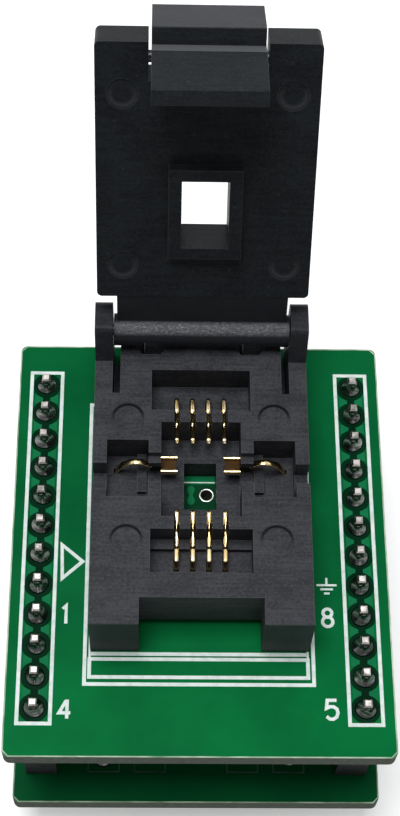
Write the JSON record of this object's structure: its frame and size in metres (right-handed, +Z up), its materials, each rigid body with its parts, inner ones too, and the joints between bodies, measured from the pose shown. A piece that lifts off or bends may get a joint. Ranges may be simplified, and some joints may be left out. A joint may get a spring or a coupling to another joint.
{
  "type": "clamshell test socket",
  "caption": "Clamshell test socket for a small flat leadless package, with sprung lid and latch, on a two-board adapter with pin rows.",
  "frame": {"origin": "centre of the lower pin pattern, in the plane of the pin tips", "axes": "+Z up from the pin tips to the socket, +Y from the latch side towards the hinge, +X to the right seen from the latch side"},
  "size_m": [0.03, 0.0486, 0.0516],
  "materials": {
    "green_board": "green solder mask over glass laminate",
    "body_plastic": "fine-grained moulded black plastic",
    "lid_plastic": "fine-grained moulded black plastic",
    "latch_plastic": "fine-grained moulded black plastic",
    "header_plastic": "black moulded header strip",
    "solder": "soft solder",
    "tinned_pin": "tinned pin",
    "gold": "thin gold plating",
    "spring_steel": "drawn steel wire and pin stock"
  },
  "bodies": {
    "base": {"front_contact_1": "gold", "front_contact_2": "gold", "front_contact_3": "gold", "front_contact_4": "gold", "ground_contact_left": "gold", "ground_contact_right": "gold", "hinge_pin": "spring_steel", "hinge_spring_left": "spring_steel", "hinge_spring_right": "spring_steel", "left_dip_pins": "gold", "left_dip_solder": "solder", "left_dip_strip": "header_plastic", "left_header_pins": "tinned_pin", "left_lower_solder": "solder", "left_pin_strip": "header_plastic", "left_receptacle": "header_plastic", "left_receptacle_clips": "gold", "left_upper_solder": "solder", "lower_board": "green_board", "rear_contact_1": "gold", "rear_contact_2": "gold", "rear_contact_3": "gold", "rear_contact_4": "gold", "right_dip_pins": "gold", "right_dip_solder": "solder", "right_dip_strip": "header_plastic", "right_header_pins": "tinned_pin", "right_lower_solder": "solder", "right_pin_strip": "header_plastic", "right_receptacle": "header_plastic", "right_receptacle_clips": "gold", "right_upper_solder": "solder", "socket_body": "body_plastic", "socket_solder": "solder", "upper_board": "green_board"},
    "lid": {"lid": "lid_plastic", "latch_pin": "spring_steel", "latch_spring": "spring_steel"},
    "latch": {"latch": "latch_plastic"}
  },
  "joints": [
    {"name": "lid_hinge", "type": "hinge", "parent": "base", "child": "lid", "pos_m": [0, 0.0153, 0.02744], "axis": [1, 0, 0], "range_deg": [0, 118], "stiffness_Nm_per_rad": 0.0004, "springref_deg": -20.05},
    {"name": "latch_pivot", "type": "hinge", "parent": "lid", "child": "latch", "pos_m": [0, 0.02598, 0.04849], "axis": [1, 0, 0], "range_deg": [-10, 4.5], "stiffness_Nm_per_rad": 0.0002, "springref_deg": 5.73}
  ]
}
